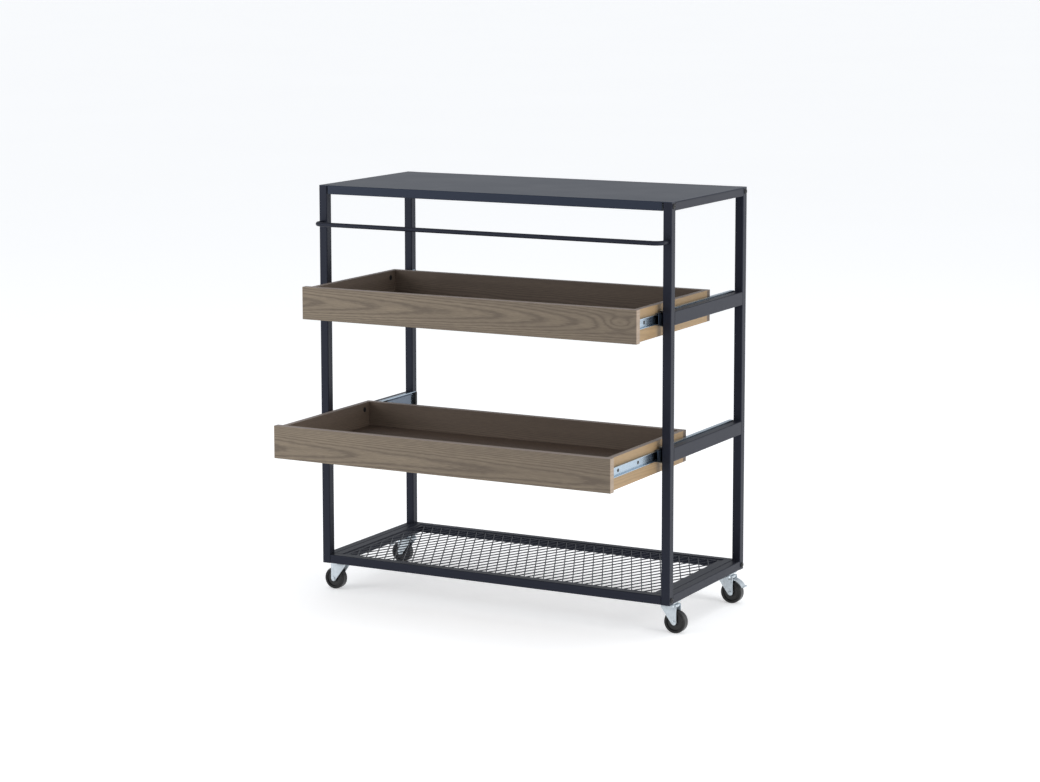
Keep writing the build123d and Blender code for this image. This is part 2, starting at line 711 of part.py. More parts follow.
def caster_fork(corner):
    """Stamped fork: a top disc over two tapering legs."""
    base = caster_plane(corner)
    inner = FORK_INSIDE / 2
    heel = TRAIL + FORK_TOE
    shoulder = FORK_UNDER - 4
    with BuildPart() as fork:
        with BuildSketch(base.offset(FORK_UNDER)):
            Circle(FORK_TOP / 2)
            with Locations(((heel - FORK_NOSE) / 2, 0)):
                Rectangle(heel + FORK_NOSE, FORK_INSIDE + 2 * FORK_THICK)
        extrude(amount=FORK_THICK)
        for y in (-inner, inner + FORK_THICK):
            with BuildSketch(across(base, y)):
                with BuildLine():
                    nose = (-FORK_NOSE, shoulder)
                    reach = math.hypot(TRAIL + FORK_NOSE, shoulder - AXLE_Z)
                    down = math.atan2(shoulder - AXLE_Z, -FORK_NOSE - TRAIL)
                    touch = down + math.acos(FORK_TOE / reach)
                    foot = (TRAIL + FORK_TOE * math.cos(touch), AXLE_Z + FORK_TOE * math.sin(touch))
                    Polyline((heel, AXLE_Z), (heel, FORK_Z), (-FORK_NOSE, FORK_Z), nose, foot)
                    ThreePointArc(foot, (TRAIL + FORK_TOE * 0.5, AXLE_Z - FORK_TOE * 0.75 ** 0.5), (heel, AXLE_Z))
                make_face()
                with Locations((TRAIL, AXLE_Z)):
                    Circle(AXLE / 2 + BOLT_FIT, mode=Mode.SUBTRACT)
                if corner in BRAKED:
                    with Locations(LEVER_PIVOT):
                        Circle(LEVER_PIN / 2 + AXLE_FIT, mode=Mode.SUBTRACT)
            extrude(amount=FORK_THICK)
        with BuildSketch(base.offset(FORK_UNDER)):
            Circle(KINGPIN / 2 + AXLE_FIT)
        extrude(amount=FORK_THICK, mode=Mode.SUBTRACT)
    save(fork, f"caster_fork_{corner}")


def caster_axle(corner):
    """Riveted axle with a head outside each leg."""
    base = caster_plane(corner)
    outer = FORK_INSIDE / 2 + FORK_THICK
    with BuildPart() as axle:
        with BuildSketch(across(base, outer)):
            with Locations((TRAIL, AXLE_Z)):
                Circle(AXLE / 2)
        extrude(amount=2 * outer)
        for y, sign in ((outer, -1), (-outer, 1)):
            with BuildSketch(across(base, y)):
                with Locations((TRAIL, AXLE_Z)):
                    Circle(AXLE_HEAD / 2)
            extrude(amount=sign * AXLE_HEAD_HEIGHT)
        heads = axle.edges().filter_by(GeomType.CIRCLE)
        rims = [e for e in heads if abs(base.to_local_coords(e.center()).Y) > outer + 1]
        fillet(rims, 1.2)
    save(axle, f"caster_axle_{corner}")


def caster_wheel(corner):
    """Moulded wheel with a soft-edged tread, dished faces and a hub."""
    base = caster_plane(corner)
    half = WHEEL_WIDTH / 2
    hub = HUB_WIDTH / 2
    bore = AXLE / 2 + AXLE_FIT
    tread = WHEEL / 2
    axis_point = base.from_local_coords(Vector(TRAIL, 0, AXLE_Z))
    section = Plane(origin=axis_point, x_dir=base.y_dir, z_dir=base.x_dir)
    with BuildPart() as wheel:
        with BuildSketch(section) as profile:
            with BuildLine():
                Polyline(
                    (-hub, bore),
                    (hub, bore),
                    (hub, HUB / 2),
                    (half - FACE_RECESS, HUB / 2 + 2),
                    (half - FACE_RECESS, tread - RIM - 1),
                    (half, tread - RIM),
                    (half, tread),
                    (-half, tread),
                    (-half, tread - RIM),
                    (FACE_RECESS - half, tread - RIM - 1),
                    (FACE_RECESS - half, HUB / 2 + 2),
                    (-hub, HUB / 2),
                    close=True,
                )
            make_face()
            outer_corners = profile.vertices().group_by(Axis.Y)[-1]
            fillet(outer_corners, WHEEL_EDGE)
        revolve(axis=Axis(axis_point, base.y_dir))
    save(wheel, f"caster_wheel_{corner}")


def brake_lever(corner):
    """Foot lever that hooks over the tread and presses on it when trodden down."""
    base = caster_plane(corner)
    inside = WHEEL / 2 + LEVER_GAP
    outside = inside + LEVER_THICK
    hub = (TRAIL, AXLE_Z)
    lift = math.degrees(math.atan2(LEVER_PIVOT[1] - AXLE_Z, LEVER_PIVOT[0] - TRAIL))
    end = math.radians(LEVER_END_ANGLE)
    radial = (math.cos(end), math.sin(end))
    inner_end = (hub[0] + inside * radial[0], hub[1] + inside * radial[1])
    outer_end = (hub[0] + outside * radial[0], hub[1] + outside * radial[1])
    with BuildPart() as lever:
        with BuildSketch(across(base, LEVER_WIDTH / 2)):
            with BuildLine():
                rim_in = CenterArc(hub, inside, LEVER_END_ANGLE, lift - LEVER_END_ANGLE)
                rim_out = CenterArc(hub, outside, LEVER_END_ANGLE, lift - LEVER_END_ANGLE)
                Line(rim_in @ 1, rim_out @ 1)
                Line(rim_in @ 0, rim_out @ 0)
            make_face()
            with BuildLine():
                Polyline(
                    inner_end,
                    (inner_end[0] + LEVER_TOE, inner_end[1] + 1),
                    (inner_end[0] + LEVER_TOE - 0.5, inner_end[1] + 1 + LEVER_THICK),
                    (outer_end[0], outer_end[1] + LEVER_THICK),
                    close=True,
                )
            make_face()
            with Locations(LEVER_PIVOT):
                Circle(LEVER_EAR)
        extrude(amount=LEVER_WIDTH)
        with BuildSketch(across(base, FORK_INSIDE / 2 + FORK_THICK)):
            with Locations(LEVER_PIVOT):
                Circle(LEVER_PIN / 2)
        extrude(amount=FORK_INSIDE + 2 * FORK_THICK)
    save(lever, f"brake_lever_{corner}")


for corner in CASTERS:
    caster_plate(corner)
    caster_fork(corner)
    caster_axle(corner)
    caster_wheel(corner)
for corner in BRAKED:
    brake_lever(corner)

with BuildPart() as caster_fasteners:
    for side in SIDES.values():
        for x, y, _ in plate_screw_spots(side):
            with BuildSketch(Plane.XY.offset(PLATE_BOTTOM)):
                with Locations((x, y)):
                    Circle(PLATE_SCREW / 2)
            extrude(amount=PLATE_THICK + PLATE_SCREW_LENGTH)
            with BuildSketch(Plane.XY.offset(PLATE_BOTTOM)):
                with Locations((x, y)):
                    Circle(PLATE_SCREW_HEAD / 2)
            extrude(amount=-PLATE_SCREW_HEAD_HEIGHT, taper=20)
    for corner in CASTERS:
        x, y = caster_centre(corner)
        pin_foot = FORK_UNDER - KINGPIN_ROOM
        with BuildSketch(Plane.XY.offset(pin_foot)):
            with Locations((x, y)):
                Circle(KINGPIN / 2)
        extrude(amount=FRAME_BOTTOM - pin_foot)
        with BuildSketch(Plane.XY.offset(pin_foot)):
            with Locations((x, y)):
                Circle(KINGPIN_HEAD / 2)
        extrude(amount=-KINGPIN_HEAD_HEIGHT, taper=15)
save(caster_fasteners, "caster_fasteners")
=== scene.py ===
import json
import math
import random

import bmesh
import bpy
from mathutils import Matrix, Vector


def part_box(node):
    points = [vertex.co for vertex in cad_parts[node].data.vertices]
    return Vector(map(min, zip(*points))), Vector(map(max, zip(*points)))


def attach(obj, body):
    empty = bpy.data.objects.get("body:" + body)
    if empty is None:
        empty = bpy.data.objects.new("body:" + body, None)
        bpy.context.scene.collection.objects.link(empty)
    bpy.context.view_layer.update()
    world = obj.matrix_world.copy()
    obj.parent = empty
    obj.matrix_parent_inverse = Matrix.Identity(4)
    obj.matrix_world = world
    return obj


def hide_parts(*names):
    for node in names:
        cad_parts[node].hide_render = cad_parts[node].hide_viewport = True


# A serving cart on casters: powder-coated tube frame, sheet-steel top, expanded-metal shelf,
# two veneered drawers on zinc-plated ball slides. Metres, +X right, -Y front, +Z up.

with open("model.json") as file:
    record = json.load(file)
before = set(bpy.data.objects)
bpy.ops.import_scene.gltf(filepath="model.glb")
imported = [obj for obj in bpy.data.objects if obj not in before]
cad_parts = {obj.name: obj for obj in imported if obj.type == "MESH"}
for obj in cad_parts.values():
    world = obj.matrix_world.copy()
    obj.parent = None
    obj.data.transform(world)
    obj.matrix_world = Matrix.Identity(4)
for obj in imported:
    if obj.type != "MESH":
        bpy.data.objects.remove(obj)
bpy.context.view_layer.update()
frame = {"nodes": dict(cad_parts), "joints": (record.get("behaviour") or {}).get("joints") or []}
nodes = frame["nodes"]
joints = {joint["name"]: joint for joint in frame["joints"]}
MM = 0.001

# ---------------------------------------------------------------- sizes read from the frame
POST_LOW, POST_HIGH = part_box("post_front_right")
HALF_WIDTH = POST_HIGH.x
INSIDE_X = POST_LOW.x
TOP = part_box("top_panel")[1].z
DRAWER_LEVELS = ("upper", "lower")
CORNERS = ("front_left", "front_right", "rear_left", "rear_right")

random.seed(7)


# ---------------------------------------------------------------- shader building
def srgb(code, strength=1.0):
    """A hex colour such as #8A8175 as linear red, green, blue and alpha, made that much lighter."""
    channels = [int(code[i : i + 2], 16) / 255 for i in (1, 3, 5)]
    linear = [c / 12.92 if c <= 0.04045 else ((c + 0.055) / 1.055) ** 2.4 for c in channels]
    return (*[c * strength for c in linear], 1.0)


def add_node(tree, kind, inputs=None, **settings):
    """One node: its settings, and what each input takes, a plain value or another's socket."""
    made = tree.nodes.new(kind)
    for name, value in settings.items():
        setattr(made, name, value)
    for socket, value in (inputs or {}).items():
        if isinstance(value, bpy.types.NodeSocket):
            tree.links.new(value, made.inputs[socket])
        else:
            made.inputs[socket].default_value = value
    return made


def new_finish(name):
    """An empty material, and the tree that its nodes go in."""
    made = bpy.data.materials.new(name)
    made.use_nodes = True
    made.node_tree.nodes.clear()
    return made, made.node_tree


def object_millimetres(tree):
    """The surface's own place on the part, in millimetres."""
    place = add_node(tree, "ShaderNodeTexCoord")
    scaled = add_node(
        tree, "ShaderNodeMapping", {"Vector": place.outputs["Object"], "Scale": (1000, 1000, 1000)}
    )
    return scaled.outputs[0]


def powder_coat(name, colour, roughness):
    """Polyester powder coat, sprayed dry and baked on steel.

    It gives the eye a satin film with a faint orange-peel ripple and no metal showing through.
    """
    finish, tree = new_finish(name)
    place = object_millimetres(tree)
    # Orange peel is 0.8 mm across on the real coat: drawn at 3 mm, so that it shows.
    peel_mm = 3
    peel = add_node(
        tree, "ShaderNodeTexNoise", {"Vector": place, "Scale": 1 / peel_mm, "Detail": 2.0}
    )
    ripple = add_node(
        tree, "ShaderNodeBump", {"Height": peel.outputs[0], "Strength": 0.05, "Distance": 0.0004}
    )
    # Film thickness drifts over about 120 mm, which moves the gloss and the shade a little.
    drift_mm = 120
    drift = add_node(
        tree, "ShaderNodeTexNoise", {"Vector": place, "Scale": 1 / drift_mm, "Detail": 3.0}
    )
    gloss = add_node(
        tree,
        "ShaderNodeMapRange",
        {"Value": drift.outputs[0], "To Min": roughness - 0.04, "To Max": roughness + 0.04},
    )
    shade = add_node(
        tree,
        "ShaderNodeMix",
        {"Factor": drift.outputs[0], "A": srgb(colour), "B": srgb(colour, 1.12)},
        data_type="RGBA",
    )
    coat = add_node(
        tree,
        "ShaderNodeBsdfPrincipled",
        {
            "Base Color": shade.outputs["Result"],
            "Roughness": gloss.outputs[0],
            "Normal": ripple.outputs[0],
            "IOR": 1.36,
            "Specular Tint": srgb("#CFDBF8"),
        },
    )
    add_node(tree, "ShaderNodeOutputMaterial", {"Surface": coat.outputs[0]})
    return finish


def zinc_plate(name, colour, roughness, metallic, mottled=0.72):
    """Bright passivated zinc over pressed mild steel.

    It gives the eye a pale blue-white metal, softly mottled, with a faint grit. mottled is how
    light its darkest blotches are, against the rest.
    """
    finish, tree = new_finish(name)
    place = object_millimetres(tree)
    # The zinc's blotches are 4 to 8 mm across, and its grit 1.5 mm.
    blotch_mm = 6
    grit_mm = 1.5
    mottle = add_node(
        tree, "ShaderNodeTexNoise", {"Vector": place, "Scale": 1 / blotch_mm, "Detail": 4.0}
    )
    tone = add_node(
        tree,
        "ShaderNodeMix",
        {"Factor": mottle.outputs[0], "A": srgb(colour), "B": srgb(colour, mottled)},
        data_type="RGBA",
    )
    polish = add_node(
        tree,
        "ShaderNodeMapRange",
        {"Value": mottle.outputs[0], "To Min": roughness * 0.8, "To Max": roughness * 1.25},
    )
    grit = add_node(
        tree, "ShaderNodeTexNoise", {"Vector": place, "Scale": 1 / grit_mm, "Detail": 3.0}
    )
    surface = add_node(
        tree,
        "ShaderNodeBump",
        {"Height": grit.outputs[0], "Strength": 0.12 * roughness, "Distance": 0.0003},
    )
    metal = add_node(
        tree,
        "ShaderNodeBsdfPrincipled",
        {
            "Base Color": tone.outputs["Result"],
            "Roughness": polish.outputs[0],
            "Normal": surface.outputs[0],
            "Metallic": metallic,
        },
    )
    add_node(tree, "ShaderNodeOutputMaterial", {"Surface": metal.outputs[0]})
    return finish


def moulded_black(name, colour, roughness, grain_mm):
    """Injection-moulded plastic or rubber, straight from a lightly textured tool.

    It gives the eye a dense black with a fine, soft-edged grain.
    """
    finish, tree = new_finish(name)
    grain = add_node(
        tree,
        "ShaderNodeTexNoise",
        {"Vector": object_millimetres(tree), "Scale": 1 / grain_mm, "Detail": 3.0},
    )
    relief = add_node(
        tree, "ShaderNodeBump", {"Height": grain.outputs[0], "Strength": 0.1, "Distance": 0.0003}
    )
    scuff = add_node(
        tree,
        "ShaderNodeMix",
        {"Factor": grain.outputs[0], "A": srgb(colour), "B": srgb(colour, 1.5)},
        data_type="RGBA",
    )
    moulding = add_node(
        tree,
        "ShaderNodeBsdfPrincipled",
        {
            "Base Color": scuff.outputs["Result"],
            "Normal": relief.outputs[0],
            "Roughness": roughness,
            "IOR": 1.49,
        },
    )
    add_node(tree, "ShaderNodeOutputMaterial", {"Surface": moulding.outputs[0]})
    return finish


FRONT_TONES = ("#4E4238", "#857764", "#B29E8A")
INSIDE_TONES = ("#574A3F", "#7A6A5C", "#B4966F")
BOARD_TONES = ("#53443A", "#66564A", "#66564A")
EDGING_TONE = "#8D8077"
RINGS_OUTWARD = 3600.0  # rings to the square metre, away from the heart
RAGGED = 0.55  # of a ring, by which a ring's edge is torn
EYE_RINGS = 3.6


def oak_veneer(
    name, along, across, heart, flow, swirl, tones, eye=None, pale_beyond=None, edge_above=None
):
    """Flat-sawn oak veneer, stained grey-brown and oiled.

    It gives the eye cathedral arches of dark late wood over lighter, finely pored wood.
    along and across name the axes of the grain and of the board's width, heart is the height of
    the arches' middle, flow the rings in a metre along the board, swirl how far the rings wander.
    tones are its late, early and bare wood, and eye is the place of a knot. Beyond pale_beyond,
    on X, the wood is bare and pale, and above edge_above, on Z, it is the thin edging strip.
    """
    late, early, bare = tones
    finish, tree = new_finish(name)
    place = add_node(tree, "ShaderNodeTexCoord")
    split = add_node(tree, "ShaderNodeSeparateXYZ", {"Vector": place.outputs["Object"]})
    axis = {"x": 0, "y": 1, "z": 2}
    run = split.outputs[axis[along]]
    width = split.outputs[axis[across]]
    board = add_node(tree, "ShaderNodeCombineXYZ", {"X": run, "Y": width}).outputs[0]
    # Each pattern's repeats in a metre along and across the board, its layer, detail and
    # roughness. The rings wander over 330 mm by 110 mm, their ragged teeth are 20 mm by 2 mm,
    # and bands of stain 400 mm by 14 mm. Oak's open pores are 0.3 mm wide: drawn as streaks
    # 1.2 mm wide and 25 mm long, so that they show.
    patterns = {
        "wander": ((3.0, 9.0, 0.0), swirl, 2.5, 0.5),
        "teeth": ((50.0, 480.0, 0.0), 0.0, 2.0, 0.5),
        "pores": ((40.0, 800.0, 0.0), 0.0, 4.0, 0.6),
        "stain": ((2.5, 70.0, 0.0), 0.0, 3.0, 0.5),
    }
    figure = {}
    for pattern, (repeats, layer, detail, roughness) in patterns.items():
        spot = add_node(
            tree,
            "ShaderNodeVectorMath",
            {0: board, 1: repeats, 2: (0, 0, layer)},
            operation="MULTIPLY_ADD",
        )
        texture = add_node(
            tree,
            "ShaderNodeTexNoise",
            {"Vector": spot.outputs[0], "Scale": 1.0, "Detail": detail, "Roughness": roughness},
        )
        figure[pattern] = texture.outputs[0]
    from_heart = add_node(tree, "ShaderNodeMath", {0: width, 1: heart}, operation="SUBTRACT")
    outward = add_node(
        tree,
        "ShaderNodeMath",
        {0: from_heart.outputs[0], 1: from_heart.outputs[0]},
        operation="MULTIPLY",
    )
    rings = 0.0
    for field, share in (
        (outward.outputs[0], RINGS_OUTWARD),
        (run, flow),
        (figure["wander"], swirl),
        (figure["teeth"], RAGGED),
    ):
        added = add_node(
            tree, "ShaderNodeMath", {0: field, 1: share, 2: rings}, operation="MULTIPLY_ADD"
        )
        rings = added.outputs[0]
    if eye:
        # The knot draws the rings in over an oval about 75 mm by 25 mm.
        eye_repeats = (26.0, 75.0, 0.0)
        from_eye = add_node(
            tree,
            "ShaderNodeVectorMath",
            {0: board, 1: eye_repeats, 2: (-eye_repeats[0] * eye[0], -eye_repeats[1] * eye[1], 0)},
            operation="MULTIPLY_ADD",
        )
        away = add_node(
            tree,
            "ShaderNodeVectorMath",
            {0: from_eye.outputs[0], 1: from_eye.outputs[0]},
            operation="DOT_PRODUCT",
        )
        beyond = add_node(
            tree, "ShaderNodeMath", {0: away.outputs["Value"], 1: 1.0}, operation="ADD"
        )
        pull = add_node(
            tree, "ShaderNodeMath", {0: EYE_RINGS, 1: beyond.outputs[0]}, operation="DIVIDE"
        )
        drawn = add_node(tree, "ShaderNodeMath", {0: rings, 1: pull.outputs[0]}, operation="ADD")
        rings = drawn.outputs[0]
    growth = add_node(tree, "ShaderNodeMath", {0: rings}, operation="FRACT")
    # Each year: pale early wood that darkens slowly to a late-wood line, then starts afresh.
    year = add_node(tree, "ShaderNodeValToRGB", {"Fac": growth.outputs[0]})
    stops = year.color_ramp.elements
    stops[0].position, stops[0].color = 0.0, (0.56, 0.56, 0.56, 1)
    stops[1].position, stops[1].color = 1.0, (0.5, 0.5, 0.5, 1)
    for position, level in ((0.16, 0.86), (0.45, 1.0), (0.68, 0.86), (0.87, 0.36)):
        stops.new(position).color = (level, level, level, 1)
    # Pores and bands of stain lie over the rings, and painted shade darkens the veneer towards its
    # right end, where the left fill light falls off.
    lightness = year.outputs[0]
    for field, low, high, at_low, at_high in (
        (figure["pores"], 0.32, 0.68, 0.6, 1.15),
        (figure["stain"], 0.3, 0.7, 0.78, 1.1),
        # painted shade: lightness falls from 1.04 to 0.76 towards +X, standing in for the left fill
        # light fading
        (split.outputs[0], -0.4, 0.4, 1.04, 0.76),
    ):
        layer = add_node(
            tree,
            "ShaderNodeMapRange",
            {
                "Value": field,
                "From Min": low,
                "From Max": high,
                "To Min": at_low,
                "To Max": at_high,
            },
        )
        laid = add_node(
            tree, "ShaderNodeMath", {0: lightness, 1: layer.outputs[0]}, operation="MULTIPLY"
        )
        lightness = laid.outputs[0]
    wood = add_node(
        tree,
        "ShaderNodeMix",
        {"Factor": lightness, "A": srgb(late), "B": srgb(early)},
        data_type="RGBA",
    )
    if pale_beyond:
        reach = add_node(tree, "ShaderNodeMath", {0: split.outputs[0]}, operation="ABSOLUTE")
        on_end = add_node(
            tree, "ShaderNodeMath", {0: reach.outputs[0], 1: pale_beyond}, operation="GREATER_THAN"
        )
        raw = add_node(
            tree,
            "ShaderNodeMix",
            {"Factor": lightness, "A": srgb(bare, 0.62), "B": srgb(bare)},
            data_type="RGBA",
        )
        wood = add_node(
            tree,
            "ShaderNodeMix",
            {
                "Factor": on_end.outputs[0],
                "A": wood.outputs["Result"],
                "B": raw.outputs["Result"],
            },
            data_type="RGBA",
        )
    if edge_above:
        on_edge = add_node(
            tree,
            "ShaderNodeMath",
            {0: split.outputs[2], 1: edge_above},
            operation="GREATER_THAN",
        )
        wood = add_node(
            tree,
            "ShaderNodeMix",
            {"Factor": on_edge.outputs[0], "A": wood.outputs["Result"], "B": srgb(EDGING_TONE)},
            data_type="RGBA",
        )
    relief = add_node(
        tree, "ShaderNodeBump", {"Height": lightness, "Strength": 0.18, "Distance": 0.0004}
    )
    oiled = add_node(
        tree,
        "ShaderNodeBsdfPrincipled",
        {
            "Base Color": wood.outputs["Result"],
            "Normal": relief.outputs[0],
            "Roughness": 0.55,
            "IOR": 1.47,
        },
    )
    add_node(tree, "ShaderNodeOutputMaterial", {"Surface": oiled.outputs[0]})
    return finish


# ---------------------------------------------------------------- this cart's finishes
charcoal_coat = powder_coat("charcoal_powder_coat", "#1B1C24", 0.44)
top_coat = powder_coat("charcoal_powder_coat_top", "#252A35", 0.4)
zinc = zinc_plate("bright_zinc_plate", "#D9E2E8", 0.38, 0.75)
slide_zinc = zinc_plate("rolled_zinc_slides", "#AFC0CE", 0.24, 1.0, 0.88)
blue_zinc = zinc_plate("blue_passivated_slides", "#66717F", 0.32, 1.0)
black_oxide = moulded_black("black_oxide_bolts", "#141416", 0.4, 1.0)
black_nylon = moulded_black("black_nylon_fittings", "#161617", 0.5, 1.0)
tread_rubber = moulded_black("moulded_black_wheels", "#0D0D0E", 0.33, 1.5)
bottom_board = oak_veneer("dark_lacquered_board", "x", "y", 0.0, 6.0, 3.0, BOARD_TONES)


# ---------------------------------------------------------------- mesh building
def piece_from(name, mesh_maker, finish, body):
    """Finish a bmesh as one named piece that rides on a body."""
    mesh = bpy.data.meshes.new(name)
    bmesh.ops.recalc_face_normals(mesh_maker, faces=mesh_maker.faces)
    mesh_maker.to_mesh(mesh)
    mesh_maker.free()
    made = bpy.data.objects.new(name, mesh)
    bpy.context.scene.collection.objects.link(made)
    mesh.materials.append(finish)
    for face in mesh.polygons:
        face.use_smooth = True
    mesh.set_sharp_from_angle(angle=math.radians(35))
    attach(made, body)
    return made


def add_prism(maker, outline, depth, place, edge):
    """A plate of that outline (u, v) and depth along w, set by the matrix place, rims eased."""
    low = [maker.verts.new((u, v, 0)) for u, v in outline]
    high = [maker.verts.new((u, v, depth)) for u, v in outline]
    faces = [maker.faces.new(low), maker.faces.new(high)]
    count = len(outline)
    for i in range(count):
        j = (i + 1) % count
        faces.append(maker.faces.new((low[i], low[j], high[j], high[i])))
    rims = [e for f in faces[:2] for e in f.edges]
    eased = bmesh.ops.bevel(maker, geom=rims, offset=edge, segments=2, affect="EDGES", profile=0.5)
    verts = list({v for f in faces if f.is_valid for v in f.verts} | set(eased["verts"]))
    bmesh.ops.transform(maker, matrix=place, verts=verts)


def add_lathe(maker, profile, place, segments=64):
    """A turned shape: profile is (radius, height) pairs, turned about the local w axis."""
    rings = []
    for radius, height in profile:
        ring = []
        for step in range(segments):
            angle = 2 * math.pi * step / segments
            spot = Vector((radius * math.cos(angle), radius * math.sin(angle), height))
            ring.append(maker.verts.new(place @ spot))
        rings.append(ring)
    for lower, upper in zip(rings, rings[1:]):
        for step in range(segments):
            after = (step + 1) % segments
            maker.faces.new((lower[step], lower[after], upper[after], upper[step]))
    if profile[0] != profile[-1]:
        maker.faces.new(rings[0])
        maker.faces.new(rings[-1])
    else:
        bmesh.ops.remove_doubles(maker, verts=rings[0] + rings[-1], dist=1e-7)


def arc(centre, radius, start, end, steps):
    """Points along an arc, in degrees, as (u, v) pairs."""
    turn = [math.radians(start + (end - start) * i / steps) for i in range(steps + 1)]
    return [(centre[0] + radius * math.cos(a), centre[1] + radius * math.sin(a)) for a in turn]


def add_rod(maker, points, radius, segments=10):
    """A round bead or wire along straight runs between points, closed at its ends."""
    for start, end in zip(points, points[1:]):
        way = Vector(end) - Vector(start)
        turn = way.to_track_quat("Z", "Y").to_matrix().to_4x4()
        place = Matrix.Translation(start) @ turn
        add_lathe(maker, [(radius, 0), (radius, way.length)], place, segments)
    for spot in points:
        bmesh.ops.create_icosphere(
            maker, subdivisions=1, radius=radius, matrix=Matrix.Translation(spot)
        )


# ---------------------------------------------------------------- casters
WHEEL_LOW, WHEEL_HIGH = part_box("caster_wheel_front_right")
WHEEL_RADIUS = (WHEEL_HIGH.z - WHEEL_LOW.z) / 2
HUB_HALF = (WHEEL_HIGH.y - WHEEL_LOW.y) / 2
TREAD_HALF = HUB_HALF - 0.8 * MM
FORK_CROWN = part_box("caster_fork_front_right")[1].z
FORK_STEEL = 1.8 * MM
LEG_ROOM = 0.4 * MM  # between the hub and each leg
LEG_OUTER = HUB_HALF + LEG_ROOM + FORK_STEEL
RIB_RADIUS = 0.9 * MM
RIB_SUNK = 0.4 * MM
AXLE_HEAD = 2.2 * MM
NUT_THICK = 2.0 * MM


def swivel_place(corner):
    """The caster's own frame at its swivel axis on the floor: u the way it trails, w up."""
    swivel = Vector(joints[f"{corner}_swivel"]["pos_m"])
    axle = Vector(joints[f"{corner}_roll"]["pos_m"])
    trail = Vector((axle.x - swivel.x, axle.y - swivel.y, 0))
    turn = math.atan2(trail.y, trail.x)
    spot = Vector((swivel.x, swivel.y, 0))
    return Matrix.Translation(spot) @ Matrix.Rotation(turn, 4, "Z"), trail.length, axle.z


def upright(place, y, outward):
    """The frame of an upright plate across a caster: u along the trail, v up, w outward."""
    side = Matrix(((1, 0, 0, 0), (0, 0, outward, y), (0, 1, 0, 0), (0, 0, 0, 1)))
    return place @ side


def stamped_fork(corner):
    """Pressed steel fork: a dished top with a turned-down rim, and two ribbed, tapering legs."""
    place, trail, axle_z = swivel_place(corner)
    maker = bmesh.new()
    crown = FORK_CROWN
    rim = 20 * MM
    inner = 4.2 * MM
    dish = [
        (inner, crown - FORK_STEEL),
        (inner, crown),
        (rim - 3 * MM, crown),
        (rim - 0.9 * MM, crown - 0.7 * MM),
        (rim - 0.1 * MM, crown - 2.4 * MM),
        (rim, crown - 5.2 * MM),
        (rim - 1.3 * MM, crown - 5.2 * MM),
        (rim - 1.6 * MM, crown - 3.0 * MM),
        (rim - 3 * MM, crown - FORK_STEEL),
        (inner, crown - FORK_STEEL),
    ]
    add_lathe(maker, dish, place)
    toe = 6.0 * MM
    heel = trail + toe
    nose = 17 * MM
    shoulder = crown - 7 * MM
    reach = math.hypot(trail + nose, shoulder - axle_z)
    down = math.atan2(shoulder - axle_z, -nose - trail)
    touch = math.degrees(down + math.acos(toe / reach))
    foot = arc((trail, axle_z), toe, touch, 360, 10)
    leg = [(heel, crown - 2 * MM), (heel - 1.5 * MM, crown - 0.5 * MM)]
    leg += [(1.5 * MM - nose, crown - 0.5 * MM), (-nose, crown - 2 * MM), (-nose, shoulder)]
    leg += foot
    for outward in (-1, 1):
        near = outward * (LEG_OUTER - FORK_STEEL)
        add_prism(maker, leg, FORK_STEEL, upright(place, near, outward), 0.35 * MM)
        # Two shallow ribs are pressed into each leg from its shoulder down towards the axle.
        for offset, length in ((-7.5, 12.0), (-1.0, 21.0), (5.5, 24.0)):
            top_of_rib = (trail + offset * MM, crown - 6 * MM)
            end_of_rib = (trail + offset * 0.45 * MM, crown - (6 + length) * MM)
            pressed = upright(place, outward * (LEG_OUTER - RIB_SUNK), outward)
            rib = [pressed @ Vector((*spot, 0)) for spot in (top_of_rib, end_of_rib)]
            add_rod(maker, rib, RIB_RADIUS)
    made = piece_from(f"stamped_fork_{corner}", maker, zinc, f"{corner}_fork")
    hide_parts(f"caster_fork_{corner}")


def axle_bolt(corner):
    """The wheel's axle with a domed head on one side and a hexagon nut on the other."""
    place, trail, axle_z = swivel_place(corner)
    maker = bmesh.new()
    core = upright(place, -LEG_OUTER - AXLE_HEAD, 1) @ Matrix.Translation((trail, axle_z, 0))
    full = 2 * (LEG_OUTER + AXLE_HEAD)
    add_lathe(
        maker,
        [
            (0.6 * MM, 0),
            (3.4 * MM, 0.25 * MM),
            (4.7 * MM, 1.2 * MM),
            (4.9 * MM, AXLE_HEAD),
            (3.0 * MM, AXLE_HEAD),
            (3.0 * MM, full - 0.4 * MM),
            (2.4 * MM, full),
        ],
        core,
        32,
    )
    hexagon = arc((trail, axle_z), 5.0 * MM, 0, 300, 5)
    add_prism(maker, hexagon, NUT_THICK, upright(place, LEG_OUTER, 1), 0.3 * MM)
    made = piece_from(f"axle_bolt_{corner}", maker, zinc, f"{corner}_fork")
    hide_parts(f"caster_axle_{corner}")


